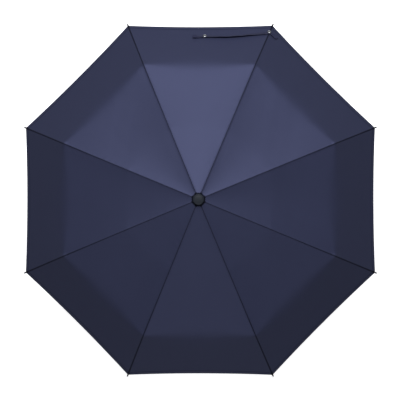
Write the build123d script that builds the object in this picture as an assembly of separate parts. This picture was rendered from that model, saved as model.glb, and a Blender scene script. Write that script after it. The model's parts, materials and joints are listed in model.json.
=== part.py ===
from build123d import *
from math import atan2, cos, degrees, hypot, radians, sin, tan
import os

# Compact folding umbrella, drawn open with its shaft extended.
# Millimetres; +Z runs up the shaft and the origin is the middle of the handle's grip.
# A rib member is drawn along +X with +Y towards the fabric; its Z is minus the
# tangential direction, so "side" positions below are tangential distances.

os.makedirs("parts", exist_ok=True)

ON_BASE = (Align.CENTER, Align.CENTER, Align.MIN)

# Whole umbrella
RIB_COUNT = 8
FIRST_AZIMUTH = 22.5
RIB_STEP = 360 / RIB_COUNT
OPEN_RADIUS = 480

# Handle, its button and the three-section shaft
HANDLE_RADIUS = 14
HANDLE_BOTTOM = -30
HANDLE_TOP = 36
HANDLE_BOTTOM_ROUND = 5
HANDLE_TOP_ROUND = 3
GROOVE_DEPTH = 0.8
GROOVE_HALF_HEIGHT = 0.9
GROOVE_Z = 32
BUTTON_Z = 25
BUTTON_RADIUS = 4.5
BUTTON_CLEARANCE = 0.3
BUTTON_INNER = 8.5
BUTTON_OUTER = 15.6
BUTTON_POCKET = 6.2
BUTTON_EDGE = 0.8
TUBE_WALL = 0.5
BOTTOM_TUBE_RADIUS = 4.6
MIDDLE_TUBE_RADIUS = 5.2
TOP_TUBE_RADIUS = 5.8
BOTTOM_TUBE_LOW = -10
BOTTOM_TUBE_HIGH = 226
MIDDLE_TUBE_LENGTH = 192
MIDDLE_TRAVEL = 145
TOP_TRAVEL = 150
TUBE_END_GAP = 2
TUBE_END_STEP = 1

# Linkage: pivot spacings and rest slopes below the horizontal
PIVOT_RADIUS = 9.5
STRETCHER_LENGTH = 97
TOP_RIB_LENGTH = 188
MIDDLE_RIB_LENGTH = 186
TOP_SLOPE = 18
MIDDLE_SLOPE = 21
OUTER_SLOPE = 45
ELBOW_HEIGHT = 6.05
OUTER_ELBOW_DEPTH = 4.05
INNER_LINK_ARM = 9
INNER_LEVER_ANGLE = 212
OUTER_LINK_ARM = 5
OUTER_LINK_ANGLE = 204
OUTER_LEVER_ANGLE = 190.5

# Rib sections
TOP_CHANNEL = (2.3, 5.5)
TOP_HALF_WIDTH = 1.7
TOP_WALL = 0.45
TOP_CHANNEL_START = 7
TOP_ROOT_BLOCK = 5
TOP_WEB_OPENING = 5.5
ELBOW_LUG_RUN = 7
INNER_WIDTH = 1.1
THIN_WALL = 0.4
STRETCHER_HALF_HEIGHT = 1.5
EYE_RUN = 5
SOLID_END = 4
LINK_PIN_PAD = 3
MIDDLE_CHANNEL = (-3.45, -0.85)
OUTER_EYE_RUN = 4
OUTER_LINE = 1.9
OUTER_ROD_RADIUS = 1.1
OUTER_PLATE = (1.25, 1.65)
OUTER_HALF_HEIGHT = 1.4
OUTER_LUG_RUN = 8
OUTER_BLOCK = 6
TONGUE_HALF_WIDTH = 0.8
LUG_RADIUS = 1.9
EYE_RADIUS = 1.6
TIP_RADIUS = 1.9
TIP_LENGTH = 9
TIP_SOLID = 3
TIP_ROUND = 1.5
TIP_EYE_SETBACK = 2
TIP_EYE_RADIUS = 0.7

# Pins, rivets and the two side links
RIVET_RADIUS = 0.8
RIVET_HEAD_RADIUS = 1.35
RIVET_HEAD = 0.4
RIVET_HOLE = 1.0
SIDE_PIN_RADIUS = 0.6
SIDE_PIN_HOLE = 0.85
SIDE_PIN_HEAD_RADIUS = 1.2
SPACER_RADIUS = 1.1
INNER_LINK_SIDE = (2.3, 3.3)
OUTER_LINK_SIDE = (-3.2, -2.3)
LINK_GAP = 0.1
OPEN_PIVOT_GAP = 0.3
INNER_LINK_HALF_HEIGHT = 1.1
OUTER_LINK_HALF_HEIGHT = 0.8
LINK_EYE_RADIUS = 1.5

# Crown, runner and cap, heights measured from their own pivot ring
RING_WIRE_RADIUS = 0.6
RING_HOLE = 0.8
SLOT_WIDTH = 2.4
SLOT_FLOOR_RADIUS = 7.3
TOOTH_RADIUS = 11.3
CROWN_LOW = -4
CROWN_TOOTH_HIGH = 4
CROWN_HIGH = 6.5
RUNNER_CLEARANCE = 0.1
RUNNER_LOW = -12
RUNNER_HIGH = 6
RUNNER_TOOTH_LOW = -4
RUNNER_TOOTH_HIGH = 3
RUNNER_GRIP_RADIUS = 10.5
RUNNER_GRIP_HEIGHT = 4
CAP_RADIUS = 13.5
CAP_LOW = 7.9
CAP_RIM = 3
CAP_SHOULDER = 15
CAP_SHOULDER_RADIUS = 11.1
CAP_DISC_RADIUS = 10.5
CAP_GROOVE = 0.5
CAP_HIGH = 15.9
CAP_TUBE_DEPTH = 6

# Canopy and closure strap
CANOPY_THICKNESS = 0.8
CANOPY_HOLE_RADIUS = 6.3
CANOPY_HUB_RADIUS = 14
CANOPY_HUB_HEIGHT = 6.8
CANOPY_ELBOW_RISE = 2.6
CANOPY_CREASE_RISE = 4.6
CANOPY_TIP_RISE = 2.2
CANOPY_TIP_SETBACK = 5
STRAP_WIDTH = 10
STRAP_THICKNESS = 1
STRAP_START = 172
STRAP_END = -18
STRAP_DISTANCE = 409
STRAP_LIFT = 0.6
STUD_RADIUS = 4
STUD_HEIGHT = 2
STUD_NEAR = 164
STUD_FAR = 12


def toward(angle, length=1):
    return Vector(length * cos(radians(angle)), length * sin(radians(angle)), 0)


def link_lever(from_open, from_closed, angle_open, angle_closed):
    """Lever length that leaves its far pin equally far from a link's other pin,
    open and closed. The two vectors run from that pin to the lever's own pivot."""
    change = from_closed.dot(from_closed) - from_open.dot(from_open)
    reach = from_open.dot(toward(angle_open)) - from_closed.dot(toward(angle_closed))
    return change / (2 * reach)


def disc(center, radius):
    return Pos(center.X, center.Y) * Circle(radius)


def lug(center, radius, far_x, low, high):
    """Round lug on a pivot, blended into a member's section at far_x."""
    outline = Polygon(
        (center.X, center.Y + radius),
        (center.X, center.Y - radius),
        (far_x, low),
        (far_x, high),
        align=None,
    )
    return disc(center, radius) + outline


def strut(start, end, half_height, eye_radius):
    """Flat strip between two round eyes."""
    run = end - start
    angle = degrees(atan2(run.Y, run.X))
    middle = (start + end) / 2
    bar = Pos(middle.X, middle.Y) * Rot(Z=angle) * Rectangle(run.length, 2 * half_height)
    return disc(start, eye_radius) + bar + disc(end, eye_radius)


def slab(sketch, side_low, side_high):
    return Pos(0, 0, -side_high) * extrude(sketch, amount=side_high - side_low, dir=(0, 0, 1))


def block(x_range, y_range, half_width):
    corner = (min(x_range), min(y_range), -half_width)
    size = (x_range[1] - x_range[0], y_range[1] - y_range[0], 2 * half_width)
    return Pos(*corner) * Box(*size, align=Align.MIN)


def channel(x_range, y_range, half_width, wall):
    """U section, its web on the fabric side and its mouth underneath."""
    inside = (y_range[0] - wall, y_range[1] - wall)
    return block(x_range, y_range, half_width) - block(x_range, inside, half_width - wall)


def both_sides(sketch, side_low, side_high):
    return slab(sketch, side_low, side_high) + slab(sketch, -side_high, -side_low)


def rod(center, radius, side_low, side_high):
    return slab(disc(center, radius), side_low, side_high)


def rivet(center, half_span):
    """Rivet across a clevis, headed on both outer faces."""
    shank = rod(center, RIVET_RADIUS, -half_span, half_span)
    near_head = rod(center, RIVET_HEAD_RADIUS, half_span, half_span + RIVET_HEAD)
    far_head = rod(center, RIVET_HEAD_RADIUS, -half_span - RIVET_HEAD, -half_span)
    return shank + near_head + far_head


def side_pin(center, base, side_range):
    """Shouldered pin that carries a side link's eye; base is the face it stands on."""
    outward = 1 if side_range[0] > 0 else -1
    near = min(abs(side_range[0]), abs(side_range[1])) - LINK_GAP
    far = max(abs(side_range[0]), abs(side_range[1])) + LINK_GAP
    steps = (
        (SPACER_RADIUS, base, near),
        (SIDE_PIN_RADIUS, near, far),
        (SIDE_PIN_HEAD_RADIUS, far, far + RIVET_HEAD),
    )
    pin = Part()
    for radius, low, high in steps:
        ends = sorted((outward * low, outward * high))
        pin += rod(center, radius, *ends)
    return pin


def write(name, *pieces):
    solids = [solid for piece in pieces for solid in piece.solids()]
    shape = solids[0] if len(solids) == 1 else Compound(children=solids)
    export_step(shape, f"parts/{name}.step")


# Heights along the shaft
stretcher_drop = 2 * STRETCHER_LENGTH * sin(radians(TOP_SLOPE))
folded_pivot_drop = 2 * STRETCHER_LENGTH
collapsed_crown = HANDLE_TOP + TUBE_END_GAP + TUBE_END_STEP - RUNNER_LOW + folded_pivot_drop
crown_z = collapsed_crown + MIDDLE_TRAVEL + TOP_TRAVEL
runner_z = crown_z - stretcher_drop
middle_tube_low = HANDLE_TOP + TUBE_END_GAP + MIDDLE_TRAVEL
top_tube_low = HANDLE_TOP + TUBE_END_GAP + TUBE_END_STEP + MIDDLE_TRAVEL + TOP_TRAVEL

# How far each member turns as the umbrella folds
fold_turn = 90 - TOP_SLOPE
stretcher_turn = 2 * fold_turn
middle_turn = 180 + MIDDLE_SLOPE - TOP_SLOPE
outer_turn = 180 - (OUTER_SLOPE - MIDDLE_SLOPE)

# Pivots in the top rib's own frame
origin = Vector(0, 0, 0)
stretcher_pivot = Vector(STRETCHER_LENGTH, 0, 0)
elbow = Vector(TOP_RIB_LENGTH, ELBOW_HEIGHT, 0)
toward_runner = 180 + 2 * TOP_SLOPE
link_start_open = stretcher_pivot + toward(toward_runner, INNER_LINK_ARM)
link_start_closed = stretcher_pivot + toward(toward_runner + stretcher_turn, INNER_LINK_ARM)
inner_lever = link_lever(
    elbow - link_start_open,
    elbow - link_start_closed,
    INNER_LEVER_ANGLE,
    INNER_LEVER_ANGLE + middle_turn,
)

# Pivots in the middle rib's own frame, where the elbow is the origin
middle_tilt = MIDDLE_SLOPE - TOP_SLOPE
inner_lever_end = toward(INNER_LEVER_ANGLE + middle_tilt, inner_lever)
outer_elbow = Vector(MIDDLE_RIB_LENGTH, -OUTER_ELBOW_DEPTH, 0)
outer_link_open = toward(OUTER_LINK_ANGLE, OUTER_LINK_ARM)
outer_link_closed = toward(OUTER_LINK_ANGLE - middle_turn, OUTER_LINK_ARM)
outer_lever = link_lever(
    outer_elbow - outer_link_open,
    outer_elbow - outer_link_closed,
    OUTER_LEVER_ANGLE,
    OUTER_LEVER_ANGLE - outer_turn,
)
outer_tilt = OUTER_SLOPE - MIDDLE_SLOPE
outer_lever_end = toward(OUTER_LEVER_ANGLE + outer_tilt, outer_lever)
outer_link_on_top_rib = elbow + toward(OUTER_LINK_ANGLE - middle_tilt, OUTER_LINK_ARM)

# Where each member stands in the rib plane at rest: X from the crown pivot, Y up
top_place = Rot(Z=-TOP_SLOPE)
stretcher_place = Pos(0, -stretcher_drop) * Rot(Z=TOP_SLOPE)
elbow_point = (top_place * Pos(elbow)).position
middle_place = Pos(elbow_point) * Rot(Z=-MIDDLE_SLOPE)
outer_elbow_point = (middle_place * Pos(outer_elbow)).position
outer_place = Pos(outer_elbow_point) * Rot(Z=-OUTER_SLOPE)
rise_to_line = OUTER_LINE * sin(radians(OUTER_SLOPE))
outer_reach = OPEN_RADIUS - PIVOT_RADIUS - outer_elbow_point.X - rise_to_line
outer_length = outer_reach / cos(radians(OUTER_SLOPE))
inner_link_start = (stretcher_place * Pos(STRETCHER_LENGTH - INNER_LINK_ARM, 0)).position
inner_link_end = (middle_place * Pos(inner_lever_end)).position
outer_link_start = (top_place * Pos(outer_link_on_top_rib)).position
outer_link_end = (outer_place * Pos(outer_lever_end)).position


def make_top_rib():
    side = (TOP_HALF_WIDTH - TOP_WALL, TOP_HALF_WIDTH)
    low, high = TOP_CHANNEL
    web_end = elbow.X - TOP_WEB_OPENING
    walls = channel((TOP_CHANNEL_START, elbow.X), TOP_CHANNEL, TOP_HALF_WIDTH, TOP_WALL)
    body = walls - block((web_end, elbow.X), (low, high), side[0])
    body += block((TOP_CHANNEL_START, TOP_CHANNEL_START + TOP_ROOT_BLOCK), (low, high), side[0])
    tongue = lug(origin, EYE_RADIUS, TOP_CHANNEL_START, low, high)
    body += slab(tongue, -TONGUE_HALF_WIDTH, TONGUE_HALF_WIDTH)
    body += both_sides(lug(elbow, LUG_RADIUS, elbow.X - ELBOW_LUG_RUN, low, high), *side)
    hanger = Polygon(
        (stretcher_pivot.X - LUG_RADIUS, 0),
        (stretcher_pivot.X + LUG_RADIUS, 0),
        (stretcher_pivot.X + 2 * LUG_RADIUS, low + TOP_WALL),
        (stretcher_pivot.X - 2 * LUG_RADIUS, low + TOP_WALL),
        align=None,
    )
    body += both_sides(hanger + disc(stretcher_pivot, LUG_RADIUS), *side)
    body -= rod(origin, RING_HOLE, -TOP_HALF_WIDTH, TOP_HALF_WIDTH)
    body -= rod(stretcher_pivot, RIVET_RADIUS, -TOP_HALF_WIDTH, TOP_HALF_WIDTH)
    body -= rod(elbow, RIVET_RADIUS, -TOP_HALF_WIDTH, TOP_HALF_WIDTH)
    stretcher_rivet = rivet(stretcher_pivot, TOP_HALF_WIDTH)
    elbow_rivet = rivet(elbow, TOP_HALF_WIDTH)
    link_pin = side_pin(outer_link_on_top_rib, TOP_HALF_WIDTH, OUTER_LINK_SIDE)
    return body, stretcher_rivet, elbow_rivet, link_pin


def make_stretcher():
    height = (-STRETCHER_HALF_HEIGHT, STRETCHER_HALF_HEIGHT)
    far = Vector(STRETCHER_LENGTH, 0, 0)
    link_pivot = Vector(STRETCHER_LENGTH - INNER_LINK_ARM, 0, 0)
    body = channel((EYE_RUN, STRETCHER_LENGTH), height, INNER_WIDTH, THIN_WALL)
    body += block((EYE_RUN, EYE_RUN + SOLID_END), height, INNER_WIDTH)
    tongue = lug(origin, EYE_RADIUS, EYE_RUN, *height)
    body += slab(tongue, -TONGUE_HALF_WIDTH, TONGUE_HALF_WIDTH)
    body += block((link_pivot.X - LINK_PIN_PAD, STRETCHER_LENGTH), height, INNER_WIDTH)
    body += rod(far, STRETCHER_HALF_HEIGHT, -INNER_WIDTH, INNER_WIDTH)
    body -= rod(origin, RING_HOLE, -INNER_WIDTH, INNER_WIDTH)
    body -= rod(far, RIVET_HOLE, -INNER_WIDTH, INNER_WIDTH)
    return body, side_pin(link_pivot, INNER_WIDTH, INNER_LINK_SIDE)


def make_middle_rib():
    low, high = MIDDLE_CHANNEL
    side = (-INNER_WIDTH, INNER_WIDTH)
    far_end = outer_elbow.X - OUTER_EYE_RUN
    body = channel((EYE_RUN, far_end), MIDDLE_CHANNEL, INNER_WIDTH, THIN_WALL)
    body += block((EYE_RUN, EYE_RUN + SOLID_END), MIDDLE_CHANNEL, INNER_WIDTH)
    body += block((far_end - SOLID_END, far_end), MIDDLE_CHANNEL, INNER_WIDTH)
    body += slab(lug(origin, EYE_RADIUS, EYE_RUN, low, high), *side)
    body += slab(strut(origin, inner_lever_end, LINK_EYE_RADIUS, LINK_EYE_RADIUS), *side)
    body += slab(lug(outer_elbow, EYE_RADIUS, far_end, low, high), *side)
    body -= rod(origin, RIVET_HOLE, *side)
    body -= rod(outer_elbow, RIVET_HOLE, *side)
    boss_face = INNER_LINK_SIDE[0] - OPEN_PIVOT_GAP
    body += rod(inner_lever_end, SPACER_RADIUS, INNER_WIDTH, boss_face)
    return (body,)


def make_outer_rib():
    near, far = OUTER_PLATE
    height = (OUTER_LINE - OUTER_HALF_HEIGHT, OUTER_LINE + OUTER_HALF_HEIGHT)
    end = Vector(outer_length, OUTER_LINE, 0)
    body = both_sides(lug(origin, LUG_RADIUS, OUTER_LUG_RUN, *height), near, far)
    lever = strut(origin, outer_lever_end, LINK_EYE_RADIUS, LINK_EYE_RADIUS)
    body += both_sides(lever, near, far)
    rod_start = OUTER_LUG_RUN + OUTER_BLOCK
    body += block((OUTER_LUG_RUN, rod_start), height, far)
    rod_length = end.X - TIP_SOLID - rod_start
    along = Pos(rod_start, OUTER_LINE) * Rot(Y=90)
    body += along * Cylinder(OUTER_ROD_RADIUS, rod_length, align=ON_BASE)
    body -= rod(origin, RIVET_RADIUS, -far, far)
    boss_face = -OUTER_LINK_SIDE[1] - OPEN_PIVOT_GAP
    body += rod(outer_lever_end, SPACER_RADIUS, -boss_face, -far)
    tip = Pos(end) * Rot(Y=-90) * Cylinder(TIP_RADIUS, TIP_LENGTH, align=ON_BASE)
    tip = fillet(tip.edges().sort_by(Axis.X)[-1], TIP_ROUND)
    tip -= along * Cylinder(OUTER_ROD_RADIUS, rod_length, align=ON_BASE)
    tip -= Pos(end.X - TIP_EYE_SETBACK, OUTER_LINE) * Cylinder(TIP_EYE_RADIUS, 4 * TIP_RADIUS)
    return body, rivet(origin, far), tip


def make_link(start, end, half_height, eye_radius, side_range):
    body = slab(strut(start, end, half_height, eye_radius), *side_range)
    for eye in (start, end):
        body -= rod(eye, SIDE_PIN_HOLE, *side_range)
    return (body,)


def pivot_ring():
    return Torus(PIVOT_RADIUS, RING_WIRE_RADIUS)


def slotted_collar(low, high):
    """Toothed collar whose slots hold the ribs' tongues, one slot per rib."""
    height = high - low
    collar = Pos(0, 0, low) * Cylinder(TOOTH_RADIUS, height, align=ON_BASE)
    slot = Pos(SLOT_FLOOR_RADIUS, 0, low) * Box(
        TOOTH_RADIUS, SLOT_WIDTH, height, align=(Align.MIN, Align.CENTER, Align.MIN)
    )
    for index in range(RIB_COUNT):
        collar -= Rot(Z=FIRST_AZIMUTH + index * RIB_STEP) * slot
    return collar - pivot_ring()


def tube(radius, low, high):
    outer = Cylinder(radius, high - low, align=ON_BASE)
    return Pos(0, 0, low) * (outer - Cylinder(radius - TUBE_WALL, high - low, align=ON_BASE))


def upright(radius, low, high):
    return Pos(0, 0, low) * Cylinder(radius, high - low, align=ON_BASE)


def make_crown():
    body = slotted_collar(CROWN_LOW, CROWN_TOOTH_HIGH)
    body += upright(TOOTH_RADIUS, CROWN_TOOTH_HIGH, CROWN_HIGH)
    return body - upright(TOP_TUBE_RADIUS, CROWN_LOW, CROWN_HIGH)


def make_cap():
    """Cap that clamps the fabric to the crown and closes the shaft's top: a rounded
    skirt and, inside a narrow groove, a nearly flat disc."""
    base = (CAP_RADIUS, CAP_LOW)
    skirt = (CAP_RADIUS, CAP_LOW + CAP_RIM)
    shoulder = (CAP_SHOULDER_RADIUS, CAP_SHOULDER)
    groove = (CAP_DISC_RADIUS, CAP_SHOULDER - CAP_GROOVE)
    profile = make_face(
        [
            Line((0, CAP_LOW), base),
            Line(base, skirt),
            Bezier(skirt, (CAP_RADIUS, CAP_SHOULDER), shoulder),
            Line(shoulder, groove),
            Bezier(groove, (CAP_DISC_RADIUS / 2, CAP_HIGH), (0, CAP_HIGH)),
            Line((0, CAP_HIGH), (0, CAP_LOW)),
        ]
    )
    dome = revolve(Plane.XZ * profile, Axis.Z)
    return dome - upright(TOP_TUBE_RADIUS, CAP_LOW, CAP_LOW + CAP_TUBE_DEPTH)


def make_runner():
    body = slotted_collar(RUNNER_TOOTH_LOW, RUNNER_TOOTH_HIGH)
    body += upright(SLOT_FLOOR_RADIUS, RUNNER_LOW, RUNNER_HIGH)
    grip = upright(RUNNER_GRIP_RADIUS, RUNNER_LOW, RUNNER_LOW + RUNNER_GRIP_HEIGHT)
    body += fillet(grip.edges(), RUNNER_GRIP_HEIGHT / 4)
    return body - upright(TOP_TUBE_RADIUS + RUNNER_CLEARANCE, RUNNER_LOW, RUNNER_HIGH)


def make_handle():
    grip = upright(HANDLE_RADIUS, HANDLE_BOTTOM, HANDLE_TOP)
    rims = grip.edges().sort_by(Axis.Z)
    grip = fillet(rims[:1], HANDLE_BOTTOM_ROUND)
    grip = fillet(grip.edges().sort_by(Axis.Z)[-1:], HANDLE_TOP_ROUND)
    groove_low = GROOVE_Z - GROOVE_HALF_HEIGHT
    groove_high = GROOVE_Z + GROOVE_HALF_HEIGHT
    groove = upright(2 * HANDLE_RADIUS, groove_low, groove_high)
    grip -= groove - upright(HANDLE_RADIUS - GROOVE_DEPTH, groove_low, groove_high)
    grip -= upright(BOTTOM_TUBE_RADIUS, BOTTOM_TUBE_LOW, HANDLE_TOP)
    pocket = Pos(BUTTON_POCKET, 0, BUTTON_Z) * Rot(Y=90) * Cylinder(
        BUTTON_RADIUS + BUTTON_CLEARANCE, HANDLE_RADIUS, align=ON_BASE
    )
    return grip - pocket


def make_button():
    length = BUTTON_OUTER - BUTTON_INNER
    button = Pos(BUTTON_INNER, 0, BUTTON_Z) * Rot(Y=90) * Cylinder(
        BUTTON_RADIUS, length, align=ON_BASE
    )
    return fillet(button.edges().sort_by(Axis.X)[-1], BUTTON_EDGE)


def ridge_line():
    """Underside of the fabric over a rib, as distance from the shaft and height."""
    start = Vector(PIVOT_RADIUS, crown_z, 0)
    crease = (OUTER_SLOPE + MIDDLE_SLOPE) / 2
    over_elbow = start + elbow_point + toward(90 - MIDDLE_SLOPE, CANOPY_ELBOW_RISE)
    over_crease = start + outer_elbow_point + toward(90 - crease, CANOPY_CREASE_RISE)
    tip_offset = Vector(outer_length - CANOPY_TIP_SETBACK, OUTER_LINE + CANOPY_TIP_RISE, 0)
    over_tip = start + (outer_place * Pos(tip_offset)).position
    hub = crown_z + CANOPY_HUB_HEIGHT
    return [
        Vector(CANOPY_HOLE_RADIUS, hub, 0),
        Vector(CANOPY_HUB_RADIUS, hub, 0),
        over_elbow,
        over_crease,
        over_tip,
    ]


def ridge_corner(point, index, lift):
    azimuth = radians(FIRST_AZIMUTH + index * RIB_STEP)
    return (point.X * cos(azimuth), point.X * sin(azimuth), point.Y + lift)


def make_canopy(ridge):
    """Eight flat-sided gores as one thin shell, creased over both rib elbows."""
    faces = []
    for index in range(RIB_COUNT):
        for inner, outer in zip(ridge, ridge[1:]):
            for lift in (0, CANOPY_THICKNESS):
                corners = (
                    ridge_corner(inner, index, lift),
                    ridge_corner(outer, index, lift),
                    ridge_corner(outer, index + 1, lift),
                    ridge_corner(inner, index + 1, lift),
                )
                faces.append(Face(Wire.make_polygon(corners)))
        for edge in (ridge[0], ridge[-1]):
            corners = (
                ridge_corner(edge, index, 0),
                ridge_corner(edge, index + 1, 0),
                ridge_corner(edge, index + 1, CANOPY_THICKNESS),
                ridge_corner(edge, index, CANOPY_THICKNESS),
            )
            faces.append(Face(Wire.make_polygon(corners)))
    return Solid(Shell(faces))


def make_strap(ridge):
    """Strap on the +Y gore's hem panel, running from a rib tip past mid-gore."""
    crease, tip = ridge[-2], ridge[-1]
    half_gore = cos(radians(RIB_STEP / 2))
    fall = (crease.Y - tip.Y) / ((tip.X - crease.X) * half_gore)
    surface = crease.Y - fall * (STRAP_DISTANCE - crease.X * half_gore) + CANOPY_THICKNESS
    panel = Pos(0, STRAP_DISTANCE, surface) * Rot(X=-degrees(atan2(fall, 1)))
    length = STRAP_START - STRAP_END
    middle = (STRAP_START + STRAP_END) / 2
    band = panel * Pos(middle, 0, STRAP_LIFT) * Box(length, STRAP_WIDTH, STRAP_THICKNESS, align=ON_BASE)
    pieces = [band]
    for place in (STUD_NEAR, STUD_FAR):
        stud_base = STRAP_LIFT + STRAP_THICKNESS
        stud = panel * Pos(place, 0, stud_base) * Cylinder(STUD_RADIUS, STUD_HEIGHT, align=ON_BASE)
        pieces.append(stud)
    return pieces


members = {
    "top_rib": [top_place * piece for piece in make_top_rib()],
    "stretcher": [stretcher_place * piece for piece in make_stretcher()],
    "middle_rib": [middle_place * piece for piece in make_middle_rib()],
    "outer_rib": [outer_place * piece for piece in make_outer_rib()],
    "inner_link": make_link(
        inner_link_start, inner_link_end, INNER_LINK_HALF_HEIGHT, LINK_EYE_RADIUS, INNER_LINK_SIDE
    ),
    "outer_link": make_link(
        outer_link_start, outer_link_end, OUTER_LINK_HALF_HEIGHT, LINK_EYE_RADIUS, OUTER_LINK_SIDE
    ),
}
for index in range(RIB_COUNT):
    rib_plane = Rot(Z=FIRST_AZIMUTH + index * RIB_STEP) * Pos(PIVOT_RADIUS, 0, crown_z) * Rot(X=90)
    for name, pieces in members.items():
        write(f"{name}_{index + 1}", *[rib_plane * piece for piece in pieces])

write("handle", make_handle())
write("button", make_button())
write("bottom_tube", tube(BOTTOM_TUBE_RADIUS, BOTTOM_TUBE_LOW, BOTTOM_TUBE_HIGH))
write("middle_tube", tube(MIDDLE_TUBE_RADIUS, middle_tube_low, middle_tube_low + MIDDLE_TUBE_LENGTH))
write("top_tube", tube(TOP_TUBE_RADIUS, top_tube_low, crown_z + CAP_LOW + CAP_TUBE_DEPTH))
write("crown", Pos(0, 0, crown_z) * make_crown())
write("crown_ring", Pos(0, 0, crown_z) * pivot_ring())
write("crown_cap", Pos(0, 0, crown_z) * make_cap())
write("runner", Pos(0, 0, runner_z) * make_runner())
write("runner_ring", Pos(0, 0, runner_z) * pivot_ring())
fabric_ridge = ridge_line()
write("canopy", make_canopy(fabric_ridge))
write("closure_strap", *make_strap(fabric_ridge))
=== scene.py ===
import json
from math import atan2, cos, pi, radians, sin, sqrt, tan

import bpy
import numpy as np
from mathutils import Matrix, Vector


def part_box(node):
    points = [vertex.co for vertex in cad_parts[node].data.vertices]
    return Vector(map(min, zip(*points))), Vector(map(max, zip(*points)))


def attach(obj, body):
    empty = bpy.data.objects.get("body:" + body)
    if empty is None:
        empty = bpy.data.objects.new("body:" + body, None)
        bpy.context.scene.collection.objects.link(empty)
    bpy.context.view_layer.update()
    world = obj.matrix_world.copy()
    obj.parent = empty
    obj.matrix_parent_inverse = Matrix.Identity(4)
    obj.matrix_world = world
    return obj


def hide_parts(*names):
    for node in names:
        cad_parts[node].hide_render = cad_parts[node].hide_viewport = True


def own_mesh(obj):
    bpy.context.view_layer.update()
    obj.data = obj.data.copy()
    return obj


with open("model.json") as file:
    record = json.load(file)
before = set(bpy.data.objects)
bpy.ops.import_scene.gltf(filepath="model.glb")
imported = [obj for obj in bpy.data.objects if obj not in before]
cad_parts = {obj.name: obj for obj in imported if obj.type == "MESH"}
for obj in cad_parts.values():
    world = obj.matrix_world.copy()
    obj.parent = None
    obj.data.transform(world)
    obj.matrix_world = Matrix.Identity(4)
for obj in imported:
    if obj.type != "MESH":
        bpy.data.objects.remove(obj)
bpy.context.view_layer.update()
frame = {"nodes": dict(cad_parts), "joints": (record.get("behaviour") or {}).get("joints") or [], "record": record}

# Frame facts, in metres
RIB_COUNT = 8
STEP = 2 * pi / RIB_COUNT
HALF = STEP / 2
joints = {joint["name"]: joint for joint in frame["joints"]}


def joint_point(name):
    """A joint's pivot as distance from the shaft and height."""
    x, y, z = joints[name]["pos_m"]
    return sqrt(x * x + y * y), z


def rib_azimuth(rib):
    """Direction of a rib round the shaft, ribs counted from 1."""
    return first_azimuth + (rib - 1) * STEP


def add_object(name, data):
    """New object in the scene."""
    made = bpy.data.objects.new(name, data)
    bpy.context.scene.collection.objects.link(made)
    return made


crown_radius, crown_height = joint_point("canopy_fold")
elbow_radius, elbow_height = joint_point("elbow_1")
outer_radius, outer_height = joint_point("outer_elbow_1")
canopy_low, canopy_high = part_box("canopy")
tip_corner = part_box("outer_rib_1")[1]
strap_low, strap_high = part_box("closure_strap")
handle_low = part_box("handle")[0]
tip_radius = sqrt(tip_corner.x ** 2 + tip_corner.y ** 2) - 0.0008
first_azimuth = atan2(joints["canopy_fold"]["pos_m"][1], joints["canopy_fold"]["pos_m"][0])

# Canopy. The ridge is the fabric's line over a rib, as (distance from shaft, height).
INNER_EDGE = 0.009
PATCH_RADIUS = 0.0195
SEAM_HALF_WIDTH = 0.0030
SEAM_RISE = 0.0003
SEAM_EDGE_SOFT = 0.0003
HEM_BOW = 0.0040
HEM_FOLD = 0.008
HEM_FOLD_ROWS = 5
HEM_GAP = 0.0006
HOOP_SAG = 0.0050
TOP_SOFT = 0.0006
CREASE_SOFT_RIB = 0.0015
CREASE_SOFT_MID = 0.008
BROAD_WAVE = 0.00055
FINE_WAVE = 0.00008
PUCKER_HEIGHT = 0.00022
PUCKER_REACH = 0.010
ELBOW_RISE = 0.0003
CREASE_RISE = 0.0020
JOINT_SPREAD = 0.0045
NORMAL_STEP = 0.0004
ROWS = {"top_rib": 80, "middle_rib": 84, "outer_rib": 60}
COLUMNS = 42
COLUMN_CROWDING = 1.25
ridge = (
    (0.014, canopy_high.z - 0.0002),
    (elbow_radius + 0.0009, elbow_height + 0.0030),
    (outer_radius + 0.0024, outer_height + 0.0046),
    (tip_radius - 0.0050, canopy_low.z + 0.0012),
)
ridge_slopes = [(b[1] - a[1]) / (b[0] - a[0]) for a, b in zip(ridge, ridge[1:])]

# The cloth is parted at the crease on a line square to the middle rib, so that no corner
# stands past the elbow when it folds: this is the line's mid-gore distance over its rib one.
crease_pull = ridge_slopes[1] * ridge_slopes[2]
CREASE_CUT = (1 + crease_pull) / (1 + crease_pull / cos(HALF) ** 2)


def soft_ramp(x, softness):
    """Zero, then rising at 45 degrees, with a rounded corner."""
    return softness * np.logaddexp(0, x / softness)


def profile(radius, softness):
    """Height of the fabric at a distance from the shaft, its creases rounded off."""
    height = ridge[0][1] + ridge_slopes[0] * soft_ramp(radius - ridge[0][0], TOP_SOFT)
    elbow_bend = ridge_slopes[1] - ridge_slopes[0]
    crease_bend = ridge_slopes[2] - ridge_slopes[1]
    height = height + elbow_bend * soft_ramp(radius - ridge[1][0], softness)
    return height + crease_bend * soft_ramp(radius - ridge[2][0], softness)


def waves(x, y):
    """Faint unevenness of stretched cloth, in metres."""
    broad = np.sin(21 * x + 3 * np.sin(9 * y)) * np.sin(17 * y + 2 * np.sin(13 * x) + 1.3)
    fine = np.sin(83 * x + 41 * y + 2 * np.sin(31 * x)) * np.sin(67 * y - 29 * x + 0.7)
    return BROAD_WAVE * broad + FINE_WAVE * fine


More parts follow.
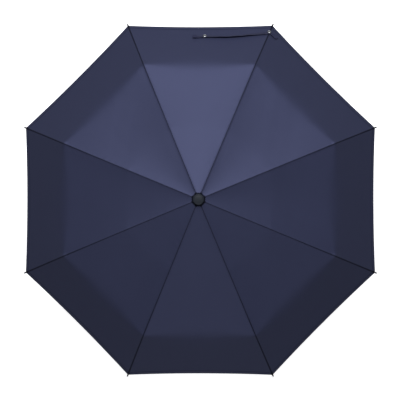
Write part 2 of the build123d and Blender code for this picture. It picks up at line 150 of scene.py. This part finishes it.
def fabric_height(rib, side, out, across):
    """Height of the cloth over a rib's half gore. out is along the rib in plan, across is
    towards mid-gore, both from the shaft's axis; side is +1 towards the next rib."""
    azimuth = rib_azimuth(rib)
    x = out * cos(azimuth) - side * across * sin(azimuth)
    y = out * sin(azimuth) + side * across * cos(azimuth)
    along_gore = out * cos(HALF) + across * sin(HALF)
    from_middle = np.abs(out * sin(HALF) - across * cos(HALF))
    radius = along_gore / cos(HALF)
    openness = np.clip(1 - from_middle / np.maximum(radius * sin(HALF), 1e-6), 0, 1)
    ease = openness * (2 - openness)
    softness = CREASE_SOFT_RIB + (CREASE_SOFT_MID - CREASE_SOFT_RIB) * ease ** 1.5
    height = profile(radius, softness)
    span = np.clip(radius / ridge[3][0], 0, 1)
    height = height - HOOP_SAG * ease * np.sin(pi * span)
    seam_fade = np.clip(across / 0.020, 0, 1)
    height = height + waves(x, y) * seam_fade * np.clip((radius - 0.03) / 0.05, 0, 1)
    pucker = np.sin(radius * 310 + 4.0 * np.sin(radius * 23 + 1.7 * rib) + 1.9 * side)
    patchy = 0.35 + 0.65 * np.sin(radius * 11 + 2.3 * rib + side) ** 2
    near_seam = np.clip(across / 0.004, 0, 1) * np.exp(-across / PUCKER_REACH) * patchy
    pucker_fade = np.clip((radius - 0.05) / 0.05, 0, 1)
    height = height + PUCKER_HEIGHT * pucker * near_seam * pucker_fade
    seam = 1 / (1 + np.exp((across - SEAM_HALF_WIDTH) / SEAM_EDGE_SOFT))
    height = height + SEAM_RISE * seam * np.clip((radius - 0.02) / 0.01, 0, 1)
    for joint_radius, rise in ((ridge[1][0], ELBOW_RISE), (ridge[2][0], CREASE_RISE)):
        gap = (out - joint_radius) ** 2 + across ** 2
        height = height + rise * np.exp(-gap / (2 * JOINT_SPREAD ** 2))
    return height


def fabric_point(rib, side, out, across, lift=0.0):
    """Row-frame points and unit normals of the cloth, lifted off along the normal."""
    height = fabric_height(rib, side, out, across)
    fall_out = (fabric_height(rib, side, out + NORMAL_STEP, across) - height) / NORMAL_STEP
    fall_across = (fabric_height(rib, side, out, across + NORMAL_STEP) - height) / NORMAL_STEP
    azimuth = rib_azimuth(rib)
    outward = np.array((cos(azimuth), sin(azimuth), 0))
    sideways = side * np.array((-sin(azimuth), cos(azimuth), 0))
    up = np.array((0, 0, 1))
    point = out[..., None] * outward + across[..., None] * sideways + height[..., None] * up
    normal = up - fall_out[..., None] * outward - fall_across[..., None] * sideways
    normal /= np.linalg.norm(normal, axis=-1, keepdims=True)
    return point + lift * normal, normal


def hem_distance(turn):
    """Plan distance to the hem at an angle from the rib, the hem bowed in mid-gore."""
    share = 1 - (np.tan(HALF - turn) / tan(HALF)) ** 2
    return (ridge[3][0] * cos(HALF) - HEM_BOW * share) / np.cos(HALF - turn)


def grid_mesh(name, points, normals, uv, flip=False):
    """Quad sheet from a grid of points, with its exact normals and one UV map."""
    rows, columns = points.shape[:2]
    index = np.arange(rows * columns).reshape(rows, columns)
    quads = np.stack((index[:-1, :-1], index[1:, :-1], index[1:, 1:], index[:-1, 1:]), -1)
    quads = quads.reshape(-1, 4)
    if flip:
        quads = quads[:, ::-1]
    mesh = bpy.data.meshes.new(name)
    mesh.from_pydata(points.reshape(-1, 3).tolist(), [], quads.tolist())
    layer = mesh.uv_layers.new(name="UVMap")
    layer.data.foreach_set("uv", uv.reshape(-1, 2)[quads.ravel()].astype(np.float32).ravel())
    mesh.polygons.foreach_set("use_smooth", [True] * len(quads))
    mesh.update()
    mesh.normals_split_custom_set_from_vertices(normals.reshape(-1, 3).tolist())
    return add_object(name, mesh)


# Materials
def material(name, color, roughness, metallic=0.0, specular=0.5, coat=0.0):
    """Principled material; returns it with its node tree and shader node."""
    made = bpy.data.materials.new(name)
    made.use_nodes = True
    shader = made.node_tree.nodes["Principled BSDF"]
    shader.inputs["Base Color"].default_value = (*color, 1)
    shader.inputs["Roughness"].default_value = roughness
    shader.inputs["Metallic"].default_value = metallic
    shader.inputs["Specular IOR Level"].default_value = specular
    shader.inputs["Coat Weight"].default_value = coat
    return made, made.node_tree, shader


def add_node(tree, kind, **settings):
    node = tree.nodes.new(kind)
    for key, value in settings.items():
        setattr(node, key, value)
    return node


def math_node(tree, operation, first, second=None):
    node = add_node(tree, "ShaderNodeMath", operation=operation)
    for socket, value in zip(node.inputs, (first, second)):
        if value is None:
            continue
        if isinstance(value, (int, float)):
            socket.default_value = value
        else:
            tree.links.new(value, socket)
    return node.outputs[0]


def band(tree, value, centre, half_width, soft):
    """1 within half_width of centre, falling to 0 over soft."""
    offset = math_node(tree, "ABSOLUTE", math_node(tree, "SUBTRACT", value, centre))
    ramp = add_node(tree, "ShaderNodeMapRange", clamp=True)
    ramp.inputs["From Min"].default_value = half_width + soft
    ramp.inputs["From Max"].default_value = half_width
    tree.links.new(offset, ramp.inputs["Value"])
    return ramp.outputs["Result"]


WEFT_PITCH = 0.0009
WARP_PITCH = 0.0007
STITCH_PITCH = 0.0028
# LINE_SHADE is painted shade: the share of the cloth's own colour left on the seam, hem and tip-corner lines.
LINE_SHADE = 0.12
LINE_COVER = 0.95
LINE_ROUGHNESS = 0.98
SHEEN_TINT = (0.55, 0.58, 0.85, 1)
GLOSS_TINT = (0.49, 0.54, 1.0, 1)


def ripple(tree, value, pitch):
    """Sine of a value, repeating every pitch metres."""
    return math_node(tree, "SINE", math_node(tree, "MULTIPLY", value, 2 * pi / pitch))


def fabric_material(name, color, roughness, sheen, seam_dark, specular=0.5):
    """Satin polyester taffeta. UV x is distance from the rib seam and y from the hem."""
    made, tree, shader = material(name, color, roughness, specular=specular)
    shader.inputs["Specular Tint"].default_value = GLOSS_TINT
    shader.inputs["Sheen Weight"].default_value = sheen
    shader.inputs["Sheen Roughness"].default_value = 0.45
    shader.inputs["Sheen Tint"].default_value = SHEEN_TINT
    coords = add_node(tree, "ShaderNodeTexCoord").outputs["UV"]
    split = add_node(tree, "ShaderNodeSeparateXYZ")
    tree.links.new(coords, split.inputs[0])
    from_seam, from_hem = split.outputs["X"], split.outputs["Y"]
    weft = ripple(tree, from_seam, WEFT_PITCH)
    warp = ripple(tree, from_hem, WARP_PITCH)
    weave = math_node(tree, "MULTIPLY", weft, warp)
    mottle = add_node(tree, "ShaderNodeTexNoise")
    mottle.inputs["Scale"].default_value = 34
    mottle.inputs["Detail"].default_value = 3
    tree.links.new(coords, mottle.inputs["Vector"])
    # Painted shade: dark lines along the rib seam, at the hem fold's inner edge, along the hem's edge and in the
    # corner by the rib tip darken the cloth where shade falls; the dashed rows are real stitches.
    painted_seam_shade = band(tree, from_seam, 0.0, 0.0008, 0.0004)
    painted_hem_fold_shade = band(tree, from_hem, HEM_FOLD - 0.001, 0.0004, 0.0005)
    dash = ripple(tree, from_hem, STITCH_PITCH)
    stitch = math_node(tree, "MULTIPLY", band(tree, from_seam, 0.0022, 0.0003, 0.0003), dash)
    painted_shade_and_stitches = math_node(tree, "MAXIMUM", math_node(tree, "MULTIPLY", painted_seam_shade, seam_dark), painted_hem_fold_shade)
    painted_shade_and_stitches = math_node(tree, "MAXIMUM", painted_shade_and_stitches, band(tree, from_hem, 0.0, 0.0010, 0.0008))
    from_corner = math_node(tree, "ADD", from_seam, from_hem)
    painted_shade_and_stitches = math_node(tree, "MAXIMUM", painted_shade_and_stitches, band(tree, from_corner, 0.0, 0.0060, 0.0020))
    painted_shade_and_stitches = math_node(tree, "MAXIMUM", painted_shade_and_stitches, math_node(tree, "MULTIPLY", stitch, 0.6))
    shade = add_node(tree, "ShaderNodeMix", data_type="RGBA", blend_type="MULTIPLY")
    shade.inputs["A"].default_value = (*color, 1)
    tone = add_node(tree, "ShaderNodeMapRange")
    tone.inputs["To Min"].default_value = 0.93
    tone.inputs["To Max"].default_value = 1.07
    tree.links.new(mottle.outputs["Fac"], tone.inputs["Value"])
    shade.inputs["Factor"].default_value = 1
    tree.links.new(tone.outputs["Result"], shade.inputs["B"])
    # Painted shade: the base colour is darkened towards LINE_SHADE of itself on these lines.
    darker = add_node(tree, "ShaderNodeMix", data_type="RGBA")
    darker.inputs["B"].default_value = (*(part * LINE_SHADE for part in color), 1)
    tree.links.new(shade.outputs["Result"], darker.inputs["A"])
    tree.links.new(math_node(tree, "MULTIPLY", painted_shade_and_stitches, LINE_COVER), darker.inputs["Factor"])
    tree.links.new(darker.outputs["Result"], shader.inputs["Base Color"])
    matt = math_node(tree, "MULTIPLY_ADD", painted_shade_and_stitches, LINE_ROUGHNESS - roughness)
    matt.node.inputs[2].default_value = roughness
    tree.links.new(matt, shader.inputs["Roughness"])
    bump = add_node(tree, "ShaderNodeBump")
    bump.inputs["Strength"].default_value = 0.25
    bump.inputs["Distance"].default_value = 0.0001
    relief = math_node(tree, "SUBTRACT", weave, math_node(tree, "MULTIPLY", painted_shade_and_stitches, 2.5))
    tree.links.new(relief, bump.inputs["Height"])
    tree.links.new(bump.outputs["Normal"], shader.inputs["Normal"])
    return made


NAVY = (0.0125, 0.0146, 0.0320)
canopy_cloth = fabric_material("canopy_cloth", NAVY, 0.62, 0.0, 1.0, 0.80)
# The seam cloth is the canopy's navy painted darker: painted shade along each rib seam.
seam_shade_cloth = fabric_material("seam_shade_cloth", (0.0040, 0.0048, 0.0100), 0.74, 0.0, 0.0, 0.30)
patch_cloth = fabric_material("patch_cloth", (0.0025, 0.0030, 0.0045), 0.7, 0.0, 0.0, 0.15)
strap_tape = fabric_material("strap_tape", (0.012, 0.013, 0.030), 0.5, 0.05, 0.0)


# Places of the other two cloths among a canopy piece's materials
PATCH_CLOTH_SLOT = 1
SEAM_SHADE_SLOT = 2


def gather_axis(points, anchor, rib_line):
    """Direction square to the rib in which the cloth's far edge stands off it the most."""
    offset = points.reshape(-1, 3) - np.array(anchor)
    offset -= np.outer(offset @ np.array(rib_line), rib_line)
    offset *= np.linalg.norm(offset, axis=1, keepdims=True)
    spread = np.linalg.eigh(offset.T @ offset)[1][:, -1]
    return Vector(spread)


def make_canopy():
    """Cloth in rib-centred halves, each carried on the rib it hangs on."""
    turn = np.arctan(np.linspace(0, 1, COLUMNS + 1) ** COLUMN_CROWDING * tan(HALF))[None, :]
    parting = ridge[2][0] / (1 + (1 / CREASE_CUT - 1) * np.tan(turn) / tan(HALF))
    outer_edge = {"top_rib": elbow_radius, "middle_rib": parting}
    inner_edge = {"top_rib": INNER_EDGE, "middle_rib": elbow_radius, "outer_rib": parting}
    pivots = {"top_rib": INNER_EDGE, "middle_rib": elbow_radius, "outer_rib": ridge[2][0]}
    slopes = dict(zip(("top_rib", "middle_rib", "outer_rib"), ridge_slopes))
    pieces = []
    for rib in range(1, RIB_COUNT + 1):
        azimuth = rib_azimuth(rib)
        outward = Vector((cos(azimuth), sin(azimuth), 0))
        for side, side_name in ((1, "left"), (-1, "right")):
            for body, rows in ROWS.items():
                start = inner_edge[body]
                hem = hem_distance(turn) * np.cos(turn)
                end = outer_edge.get(body, hem)
                share = np.linspace(0, 1, rows + 1)[:, None]
                out = start + (end - start) * share
                across = out * np.tan(turn)
                points, normals = fabric_point(rib, side, out, across)
                uv = np.stack((across, hem_distance(turn) - out / np.cos(turn)), -1)
                if body == "outer_rib":
                    back = np.linspace(0, HEM_FOLD, HEM_FOLD_ROWS)[:, None]
                    fold_out = hem - back * np.cos(HALF - turn)
                    fold_across = hem * np.tan(turn) - back * np.sin(HALF - turn)
                    under, under_normals = fabric_point(
                        rib, side, fold_out, np.maximum(fold_across, 0), -HEM_GAP
                    )
                    fold_uv = np.stack((np.maximum(fold_across, 0), back + 0 * turn), -1)
                    points = np.concatenate((points, under))
                    normals = np.concatenate((normals, -under_normals))
                    uv = np.concatenate((uv, fold_uv))
                name = f"canopy_{body}_{rib}_{side_name}"
                piece = grid_mesh(name, points, normals, uv, flip=side < 0)
                for cloth in (canopy_cloth, patch_cloth, seam_shade_cloth):
                    piece.data.materials.append(cloth)
                face_cloth = np.zeros((len(points) - 1, COLUMNS), np.int32)
                # The strip beside the rib takes the seam cloth, painted shade along the seam.
                face_cloth[:, 0] = SEAM_SHADE_SLOT
                if body == "top_rib":
                    reach = (out * cos(HALF) + across * sin(HALF)) / cos(HALF)
                    face_cloth[reach[1:, :-1] < PATCH_RADIUS] = PATCH_CLOTH_SLOT
                piece.data.polygons.foreach_set("material_index", face_cloth.ravel())
                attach(piece, f"{body}_{rib}")
                anchor = outward * pivots[body]
                anchor.z = float(profile(np.array(pivots[body]), CREASE_SOFT_RIB))
                rib_line = (outward + Vector((0, 0, slopes[body]))).normalized()
                axis = gather_axis(points, anchor, rib_line)
                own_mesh(piece)
                pieces.append(piece)
    return pieces


canopy = make_canopy()
for piece in canopy:
    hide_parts("canopy")


# Closure strap: tape sewn at the second rib's tip, lying along the hem, with two snaps
STRAP_WIDTH = 0.0100
STRAP_THICKNESS = 0.0008
STRAP_BODY = "outer_rib_2"
STRAP_SEWN_INSIDE_TIP = 0.0270
SNAP_FROM_FREE_END = 0.028
STUD_BASE_LIFT = 0.0032
STUD_OUTLINE = (
    (0.0, 0.0), (0.0044, 0.0), (0.0047, 0.0004), (0.0045, 0.0011), (0.0036, 0.0015),
    (0.0028, 0.0011), (0.0020, 0.0012), (0.0018, 0.0019), (0.0008, 0.0022), (0.0, 0.0022),
)
BAND_STATIONS = 70
CURL_STATIONS = 14
TAIL_STATIONS = 16


def fabric_at(x, y, lift=0.0):
    """Cloth point and normal at any plan position, on arrays."""
    azimuth = np.arctan2(y, x)
    nearest = np.round((azimuth - first_azimuth) / STEP)
    points, normals = [], []
    for px, py, k in zip(np.ravel(x), np.ravel(y), np.ravel(nearest)):
        angle = first_azimuth + k * STEP
        out = px * cos(angle) + py * sin(angle)
        across = -px * sin(angle) + py * cos(angle)
        rib = int(k) % RIB_COUNT + 1
        side = 1 if across >= 0 else -1
        point, normal = fabric_point(rib, side, np.array(out), np.array(abs(across)))
        points.append(point)
        normals.append(normal)
    points, normals = np.array(points), np.array(normals)
    return points + np.ravel(lift)[:, None] * normals, normals


def ribbon(name, plan, lifts, tilts, width):
    """Flat tape along a path over the cloth; tilts raise its shaft-side edge, in radians."""
    path = np.array(plan)
    centre, normals = fabric_at(path[:, 0], path[:, 1], np.array(lifts))
    run = np.gradient(centre, axis=0)
    run /= np.linalg.norm(run, axis=1, keepdims=True)
    wide = np.cross(normals, run)
    wide /= np.linalg.norm(wide, axis=1, keepdims=True)
    tilts = np.array(tilts)[:, None]
    lean = wide * np.cos(tilts) + normals * np.sin(tilts)
    thick = np.cross(run, lean)
    corners = [
        centre + across * lean * width / 2 + up * thick * STRAP_THICKNESS / 2
        for across, up in ((-1, -1), (1, -1), (1, 1), (-1, 1))
    ]
    points = np.stack(corners, 1).reshape(-1, 3)
    travel = np.concatenate(([0], np.cumsum(np.linalg.norm(np.diff(centre, axis=0), axis=1))))
    last = 4 * (len(path) - 1)
    faces = [(3, 2, 1, 0), (last, last + 1, last + 2, last + 3)]
    for station in range(0, last, 4):
        for corner in range(4):
            after = (corner + 1) % 4
            near, far = station + corner, station + after
            faces.append((near, far, far + 4, near + 4))
    mesh = bpy.data.meshes.new(name)
    mesh.from_pydata(points.tolist(), [], faces)
    layer = mesh.uv_layers.new(name="UVMap")
    for loop, corner in zip(mesh.loops, layer.data):
        station, edge = divmod(loop.vertex_index, 4)
        corner.uv = (0.004 + (width if edge in (1, 2) else 0), 0.02 + travel[station])
    mesh.update()
    piece = add_object(name, mesh)
    piece.data.materials.append(strap_tape)
    return piece, float(travel[-1])


def lathe(name, outline, place, axis, sides=36):
    """Turned piece from (radius, height) points, standing on place along axis."""
    turn = Vector((0, 0, 1)).rotation_difference(Vector(axis))
    vertices, faces = [], []
    for radius, height in outline:
        for step in range(sides):
            angle = 2 * pi * step / sides
            spot = turn @ Vector((radius * cos(angle), radius * sin(angle), height))
            vertices.append(spot + Vector(place))
    for ring in range(len(outline) - 1):
        for step in range(sides):
            after = (step + 1) % sides
            low, high = ring * sides, (ring + 1) * sides
            faces.append((low + step, low + after, high + after, high + step))
    mesh = bpy.data.meshes.new(name)
    mesh.from_pydata(vertices, [], faces)
    mesh.update()
    mesh.shade_smooth()
    mesh.set_sharp_from_angle(angle=radians(40))
    return add_object(name, mesh)


snap_metal, _, _ = material("snap_metal", (0.50, 0.51, 0.54), 0.26, metallic=1.0)
second_azimuth = first_azimuth + STEP
strap_axis = Vector((-sin(second_azimuth), cos(second_azimuth), 0)) * cos(HALF)
outer_slope = atan2(-ridge_slopes[2], 1)
second_out = Vector((cos(second_azimuth), sin(second_azimuth), 0))
second_over = Vector((0, 0, 1)) * cos(outer_slope) + second_out * sin(outer_slope)
strap_axis -= second_over * sin(HALF) * sin(outer_slope)
strap_anchor = second_out * ridge[2][0]
strap_anchor.z = float(profile(np.array(ridge[2][0]), CREASE_SOFT_RIB))


def on_strap_body(piece, gathers=True):
    """Carry a strap piece on its rib."""
    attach(piece, STRAP_BODY)
    if gathers:
        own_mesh(piece)
    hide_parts("closure_strap")


def make_strap():
    """Tape band with a curled free end, its sewn tail, and a snap stud at each end."""
    sewn = second_out * (tip_radius - STRAP_SEWN_INSIDE_TIP)
    level = (strap_low.y + strap_high.y) / 2 - 0.0005
    free_x = strap_low.x + 0.002
    snap_x = free_x + SNAP_FROM_FREE_END
    share = np.linspace(0, 1, BAND_STATIONS)
    run_x = sewn.x + (free_x - sewn.x) * share
    run_y = level - 0.0015 + 0.0095 * (1 - share) ** 3 - 0.0015 * share ** 4
    run_y += 0.0012 * np.sin(share * 9)
    lift = 0.0011 + 0.0016 * np.sin(pi * share) ** 2 + 0.0008 * np.sin(share * 17) ** 2
    tilt = 0.10 + 0.45 * np.sin(pi * share) ** 1.5
    curl = np.linspace(0, 1, CURL_STATIONS)[1:]
    curl_x = free_x - 0.0025 * np.sin(pi * curl) + 0.013 * np.clip(curl - 0.35, 0, 1)
    curl_lift = lift[-1] + 0.0026 * np.sin(pi * np.clip(curl, 0, 0.5))
    plan = np.stack((np.append(run_x, curl_x), np.append(run_y, run_y[-1] + 0 * curl)), 1)
    lifts = np.append(lift, curl_lift)
    tilts = np.append(tilt, 0.1 + 0 * curl)
    tape, length = ribbon("strap_tape_band", plan, lifts, tilts, STRAP_WIDTH)
    on_strap_body(tape)
    tail_share = np.linspace(0, 1, TAIL_STATIONS)
    tail_plan = np.stack((sewn.x + 0.017 * tail_share, sewn.y - 0.015 * tail_share ** 1.2), 1)
    tail, tail_length = ribbon(
        "strap_tape_tail", tail_plan, 0.0016 + 0.003 * tail_share, 0.3 * tail_share, STRAP_WIDTH
    )
    on_strap_body(tail, gathers=False)
    for name, x, y, gathers in (
        ("strap_snap_near", sewn.x, sewn.y, False),
        ("strap_snap_far", snap_x, float(np.interp(snap_x, run_x[::-1], run_y[::-1])), True),
    ):
        place, normal = fabric_at(np.array([x]), np.array([y]), np.array([STUD_BASE_LIFT]))
        stud = lathe(name, STUD_OUTLINE, place[0], normal[0])
        stud.data.materials.append(snap_metal)
        on_strap_body(stud, gathers)


make_strap()


# Hard parts
def speckled(
    name, color, roughness, scale, strength,
    metallic=0.0, specular=0.5, coat=0.0, stretch=(1, 1, 1),
):
    """Moulded or drawn finish: fine relief and a slight unevenness of gloss."""
    made, tree, shader = material(name, color, roughness, metallic, specular, coat)
    coords = add_node(tree, "ShaderNodeTexCoord").outputs["Object"]
    mapping = add_node(tree, "ShaderNodeMapping")
    mapping.inputs["Scale"].default_value = stretch
    tree.links.new(coords, mapping.inputs["Vector"])
    grain = add_node(tree, "ShaderNodeTexNoise")
    grain.inputs["Scale"].default_value = scale
    grain.inputs["Detail"].default_value = 4
    tree.links.new(mapping.outputs["Vector"], grain.inputs["Vector"])
    gloss = add_node(tree, "ShaderNodeMapRange")
    gloss.inputs["To Min"].default_value = max(roughness - 0.08, 0.05)
    gloss.inputs["To Max"].default_value = roughness + 0.08
    tree.links.new(grain.outputs["Fac"], gloss.inputs["Value"])
    tree.links.new(gloss.outputs["Result"], shader.inputs["Roughness"])
    bump = add_node(tree, "ShaderNodeBump")
    bump.inputs["Strength"].default_value = strength
    bump.inputs["Distance"].default_value = 0.0002
    tree.links.new(grain.outputs["Fac"], bump.inputs["Height"])
    tree.links.new(bump.outputs["Normal"], shader.inputs["Normal"])
    return made


along_shaft = (60, 60, 1)
finishes = {
    "shaft_steel": speckled(
        "drawn_steel", (0.62, 0.63, 0.65), 0.24, 30, 0.05, 1.0, stretch=along_shaft
    ),
    "rib_steel": speckled("rib_enamel", (0.022, 0.022, 0.026), 0.34, 700, 0.08, coat=0.3),
    "outer_rib": speckled(
        "rod_black", (0.010, 0.010, 0.013), 0.45, 700, 0.08, specular=0.2
    ),
    "link_wire": speckled("wire_steel", (0.55, 0.56, 0.58), 0.28, 500, 0.05, 1.0),
    "crown_plastic": speckled("nylon_black", (0.014, 0.014, 0.016), 0.42, 900, 0.15),
    "cap_plastic": speckled(
        "cap_plastic", (0.0100, 0.0130, 0.0190), 0.60, 900, 0.12, specular=0.20
    ),
    "handle_plastic": speckled("grip_rubber", (0.013, 0.013, 0.015), 0.58, 1400, 0.35),
    "button_plastic": speckled("button_plastic", (0.03, 0.03, 0.034), 0.40, 900, 0.15),
}
slots = {part["node"]: part["material_slot"] for part in frame["record"]["subparts"]}
for node, part in frame["nodes"].items():
    if slots[node] in finishes:
        part.data.materials.clear()
        part.data.materials.append(finishes[slots[node]])


# Studio. The floor glows round the object and fades outwards; gloss doesn't see it.
FLOOR_REACH = 9.0
GLOW_INNER, GLOW_OUTER = 0.80, 2.40
GLOW_STRONG, GLOW_WEAK = 0.75, 0.10
floor_material, floor_tree, floor_shader = material(
    "studio_floor", (0.86, 0.86, 0.87), 0.8, specular=0.1
)
floor_shader.inputs["Emission Color"].default_value = (1, 1, 1, 1)
floor_spot = add_node(floor_tree, "ShaderNodeVectorMath", operation="LENGTH")
floor_place = add_node(floor_tree, "ShaderNodeTexCoord").outputs["Object"]
floor_tree.links.new(floor_place, floor_spot.inputs[0])
pool = add_node(floor_tree, "ShaderNodeMapRange", interpolation_type="SMOOTHSTEP", clamp=True)
pool.inputs["From Min"].default_value = GLOW_INNER
pool.inputs["From Max"].default_value = GLOW_OUTER
pool.inputs["To Min"].default_value = GLOW_STRONG
pool.inputs["To Max"].default_value = GLOW_WEAK
floor_tree.links.new(floor_spot.outputs["Value"], pool.inputs["Value"])
floor_tree.links.new(pool.outputs["Result"], floor_shader.inputs["Emission Strength"])
floor_mesh = bpy.data.meshes.new("studio_floor")
floor_corners = [
    (x * FLOOR_REACH, y * FLOOR_REACH, handle_low.z)
    for x, y in ((-1, -1), (1, -1), (1, 1), (-1, 1))
]
floor_mesh.from_pydata(floor_corners, [], [(0, 1, 2, 3)])
floor_mesh.materials.append(floor_material)
floor = add_object("studio_floor", floor_mesh)
floor.visible_glossy = False

world = bpy.data.worlds.new("studio")
world.use_nodes = True
world.node_tree.nodes["Background"].inputs["Color"].default_value = (0.95, 0.97, 1.0, 1)
world.node_tree.nodes["Background"].inputs["Strength"].default_value = 0.24
bpy.context.scene.world = world
bpy.context.scene.view_settings.view_transform = "Standard"


def softbox(name, place, aim, size, power):
    """Rectangular area light turned towards a point, not seen by the camera itself."""
    data = bpy.data.lights.new(name, "AREA")
    data.shape = "RECTANGLE"
    data.size, data.size_y = size
    data.energy = power
    light = add_object(name, data)
    light.location = place
    light.rotation_mode = "QUATERNION"
    light.rotation_quaternion = (Vector(aim) - Vector(place)).to_track_quat("-Z", "Y")
    light.visible_camera = False


middle = Vector((0, 0, crown_height - 0.1))
softbox("key_softbox", middle + Vector((0.0, 1.75, 2.1)), middle, (1.9, 1.2), 98)
softbox("fill_softbox", middle + Vector((0, -3.2, 2.4)), middle, (3.0, 2.6), 38)

# Camera looks straight down the shaft, a hair to one side of it
VIEW_HEIGHT = 7.0
VIEW_WIDTH = 1.0060
VIEW_ASIDE = (0.126, -0.046)
VIEW_CENTRE = (-0.0006, 0.0004)
SENSOR_WIDTH = 36
camera_data = bpy.data.cameras.new("camera")
camera_data.sensor_width = SENSOR_WIDTH
camera_data.lens = SENSOR_WIDTH * VIEW_HEIGHT / VIEW_WIDTH
camera = add_object("camera", camera_data)
target = Vector((*VIEW_CENTRE, ridge[3][1]))
camera.location = target + Vector((*VIEW_ASIDE, VIEW_HEIGHT))
camera.rotation_mode = "XYZ"
camera.rotation_euler = (
    -atan2(VIEW_ASIDE[1], VIEW_HEIGHT), atan2(VIEW_ASIDE[0], VIEW_HEIGHT), 0
)
bpy.context.scene.camera = camera
